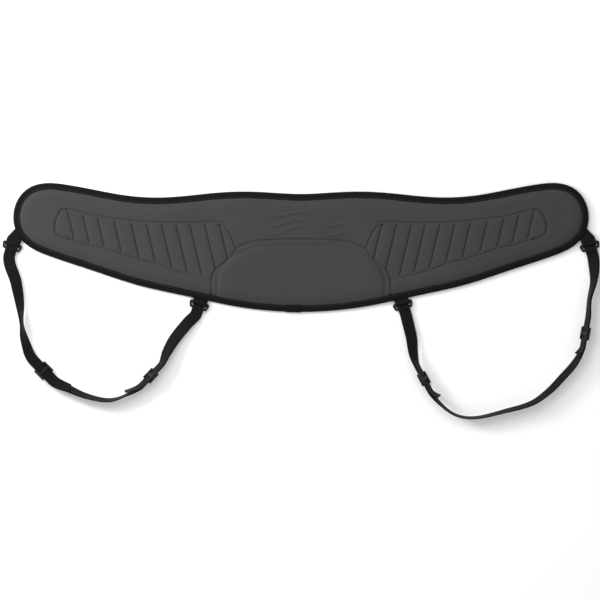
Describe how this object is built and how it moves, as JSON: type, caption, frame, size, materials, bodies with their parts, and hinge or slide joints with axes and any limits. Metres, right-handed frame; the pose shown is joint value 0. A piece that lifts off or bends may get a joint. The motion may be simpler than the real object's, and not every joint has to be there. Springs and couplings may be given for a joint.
{
  "type": "padded harness band with leg loops",
  "caption": "Long curved foam-padded body band with a ribbed moulded face and bound edge, carrying two adjustable webbing leg loops on pivoting wire loops.",
  "frame": {"origin": "on the flat back face, midway along the band, at the unit height line of the outline", "axes": "+X along the band, +Y towards its top edge, +Z out of the moulded face; the band lies on its back"},
  "size_m": [1.0153, 0.4019, 0.0264],
  "materials": {
    "grey_moulded_fabric": "fine matt knit laminated to foam",
    "dense_foam": "closed-cell foam, matt",
    "black_lining_mesh": "knitted mesh, matt",
    "black_binding_tape": "ribbed woven tape, matt",
    "black_thread": "twisted polyester, slight sheen",
    "black_webbing": "woven polyester, slight sheen",
    "black_coated_steel": "black powder coat, satin",
    "black_nylon": "injection moulded, satin"
  },
  "bodies": {
    "centre": {"centre_face_skin": "grey_moulded_fabric", "centre_foam_core": "dense_foam", "lumbar_insert": "dense_foam", "centre_back_skin": "black_lining_mesh", "centre_binding": "black_binding_tape", "binding_end": "black_binding_tape", "centre_thread": "black_thread"},
    "left_wing": {"left_wing_face_skin": "grey_moulded_fabric", "left_wing_foam_core": "dense_foam", "left_wing_back_skin": "black_lining_mesh", "left_wing_binding": "black_binding_tape", "left_wing_thread": "black_thread", "left_outer_tab": "black_webbing", "left_inner_tab": "black_webbing"},
    "left_outer_ring": {"left_outer_ring": "black_coated_steel"},
    "left_inner_ring": {"left_inner_ring": "black_coated_steel"},
    "left_leg_loop": {"left_leg_strap": "black_webbing"},
    "left_outer_adjuster": {"left_outer_adjuster": "black_nylon"},
    "left_inner_adjuster": {"left_inner_adjuster": "black_nylon"},
    "right_wing": {"right_wing_face_skin": "grey_moulded_fabric", "right_wing_foam_core": "dense_foam", "right_wing_back_skin": "black_lining_mesh", "right_wing_binding": "black_binding_tape", "right_wing_thread": "black_thread", "right_outer_tab": "black_webbing", "right_inner_tab": "black_webbing"},
    "right_outer_ring": {"right_outer_ring": "black_coated_steel"},
    "right_inner_ring": {"right_inner_ring": "black_coated_steel"},
    "right_leg_loop": {"right_leg_strap": "black_webbing"},
    "right_outer_adjuster": {"right_outer_adjuster": "black_nylon"},
    "right_inner_adjuster": {"right_inner_adjuster": "black_nylon"}
  },
  "joints": [
    {"name": "left_wing_flex", "type": "hinge", "parent": "centre", "child": "left_wing", "pos_m": [-0.152, 0, 0.012], "axis": [0, 1, 0], "range_deg": [0, 60], "stiffness_Nm_per_rad": 0.02},
    {"name": "left_outer_ring_swing", "type": "hinge", "parent": "left_wing", "child": "left_outer_ring", "pos_m": [-0.48996, 0.01212, 0.0038], "axis": [-0.9536, 0.301, 0], "range_deg": [-45, 75]},
    {"name": "left_inner_ring_swing", "type": "hinge", "parent": "left_wing", "child": "left_inner_ring", "pos_m": [-0.17213, -0.0882, 0.0038], "axis": [-0.9536, 0.301, 0], "range_deg": [-45, 75]},
    {"name": "left_loop_swing", "type": "hinge", "parent": "left_outer_ring", "child": "left_leg_loop", "pos_m": [-0.49266, 0.00354, 0.0038], "axis": [-0.9536, 0.301, 0], "range_deg": [-45, 60]},
    {"name": "left_outer_adjuster_slide", "type": "slide", "parent": "left_leg_loop", "child": "left_outer_adjuster", "axis": [-0.7007, 0.7135, 0], "range_m": [-0.01, 0.01]},
    {"name": "left_inner_adjuster_slide", "type": "slide", "parent": "left_leg_loop", "child": "left_inner_adjuster", "axis": [-0.6886, -0.7252, 0], "range_m": [-0.01, 0.01]},
    {"name": "right_wing_flex", "type": "hinge", "parent": "centre", "child": "right_wing", "pos_m": [0.152, 0, 0.012], "axis": [0, -1, 0], "range_deg": [0, 60], "stiffness_Nm_per_rad": 0.02},
    {"name": "right_outer_ring_swing", "type": "hinge", "parent": "right_wing", "child": "right_outer_ring", "pos_m": [0.48996, 0.01212, 0.0038], "axis": [-0.9536, -0.301, 0], "range_deg": [-45, 75]},
    {"name": "right_inner_ring_swing", "type": "hinge", "parent": "right_wing", "child": "right_inner_ring", "pos_m": [0.17213, -0.0882, 0.0038], "axis": [-0.9536, -0.301, 0], "range_deg": [-45, 75]},
    {"name": "right_loop_swing", "type": "hinge", "parent": "right_outer_ring", "child": "right_leg_loop", "pos_m": [0.49266, 0.00354, 0.0038], "axis": [-0.9536, -0.301, 0], "range_deg": [-45, 60]},
    {"name": "right_outer_adjuster_slide", "type": "slide", "parent": "right_leg_loop", "child": "right_outer_adjuster", "axis": [0.1819, 0.9833, 0], "range_m": [-0.01, 0.01]},
    {"name": "right_inner_adjuster_slide", "type": "slide", "parent": "right_leg_loop", "child": "right_inner_adjuster", "axis": [0.462, -0.8869, 0], "range_m": [-0.01, 0.01]}
  ],
  "couplings": [
    {"joint": "left_inner_ring_swing", "follows": "left_outer_ring_swing", "ratio": 1},
    {"joint": "right_inner_ring_swing", "follows": "right_outer_ring_swing", "ratio": 1}
  ]
}
